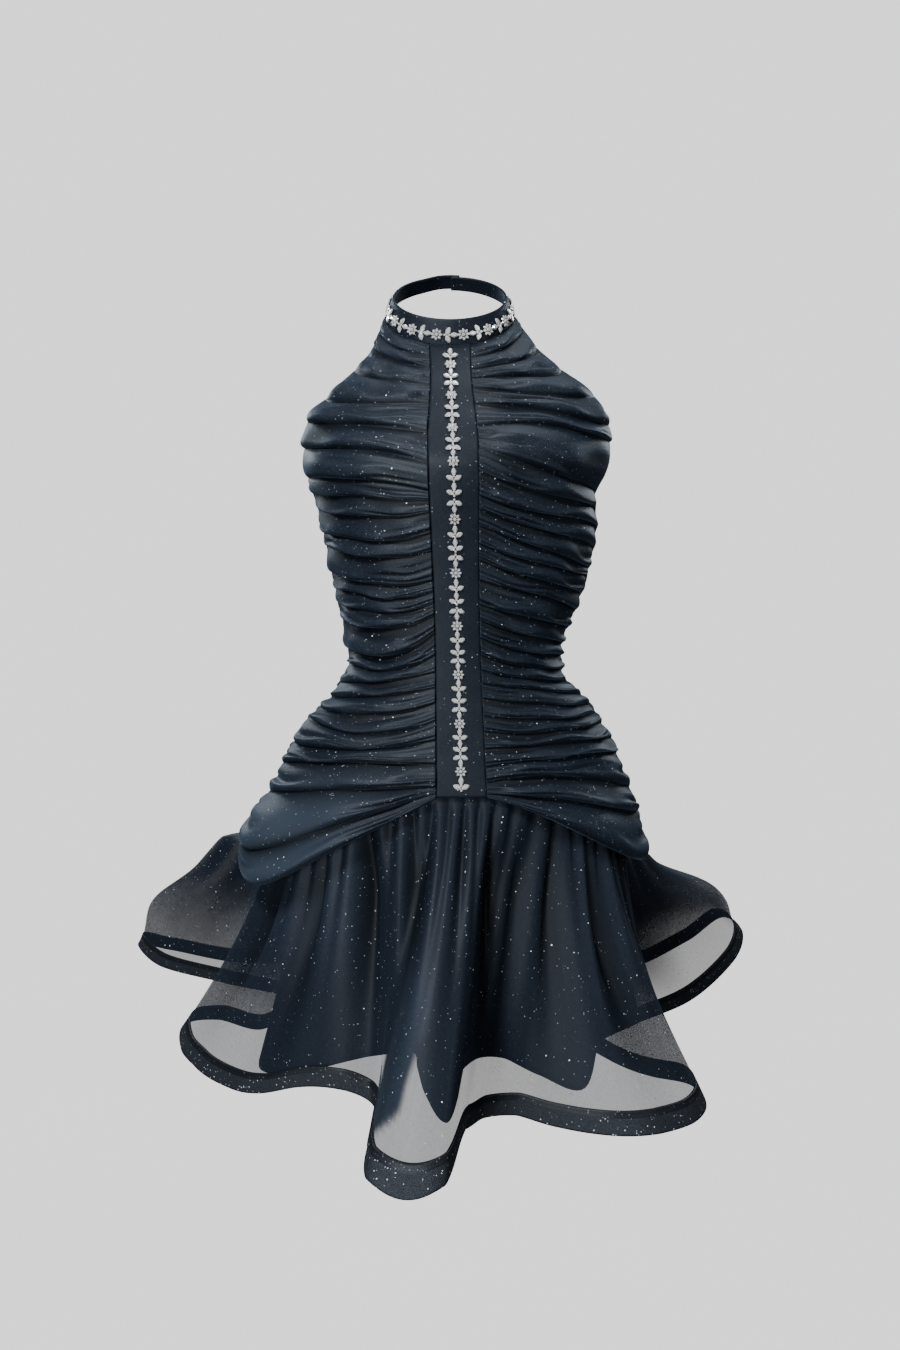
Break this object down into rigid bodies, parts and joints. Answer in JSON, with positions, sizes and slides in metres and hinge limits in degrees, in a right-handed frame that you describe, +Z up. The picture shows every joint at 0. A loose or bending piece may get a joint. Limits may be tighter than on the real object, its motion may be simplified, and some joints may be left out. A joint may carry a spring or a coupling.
{
  "type": "halter mini dress",
  "caption": "Halter mini dress with a gathered bodice, draped hips, stone trims, and a flared sheer skirt over an opaque underskirt with a stiff braided hem.",
  "frame": {"origin": "centre of the neckband ring, where the wearer's neck holds the dress", "axes": "+Z up, the front of the dress faces -Y, the right of the picture is +X"},
  "size_m": [0.7314, 0.6142, 0.8326],
  "materials": {
    "glitter_knit": "fine glitter knit with a soft sheen",
    "band_cloth": "matt stretch cloth",
    "stones": "clear cut stones in bright settings",
    "sheer_mesh": "sheer glitter mesh",
    "underskirt_cloth": "opaque matt lining cloth",
    "hem_braid": "stiff braid with a fine glint"
  },
  "bodies": {
    "root": {"neckband": "band_cloth", "neck_button": "band_cloth", "neck_trim": "stones", "centre_front": "band_cloth", "centre_trim": "stones", "front_left": "glitter_knit", "front_right": "glitter_knit", "back_panel": "glitter_knit", "skirt": "sheer_mesh", "underskirt": "underskirt_cloth", "hem_braid": "hem_braid"}
  },
  "joints": []
}
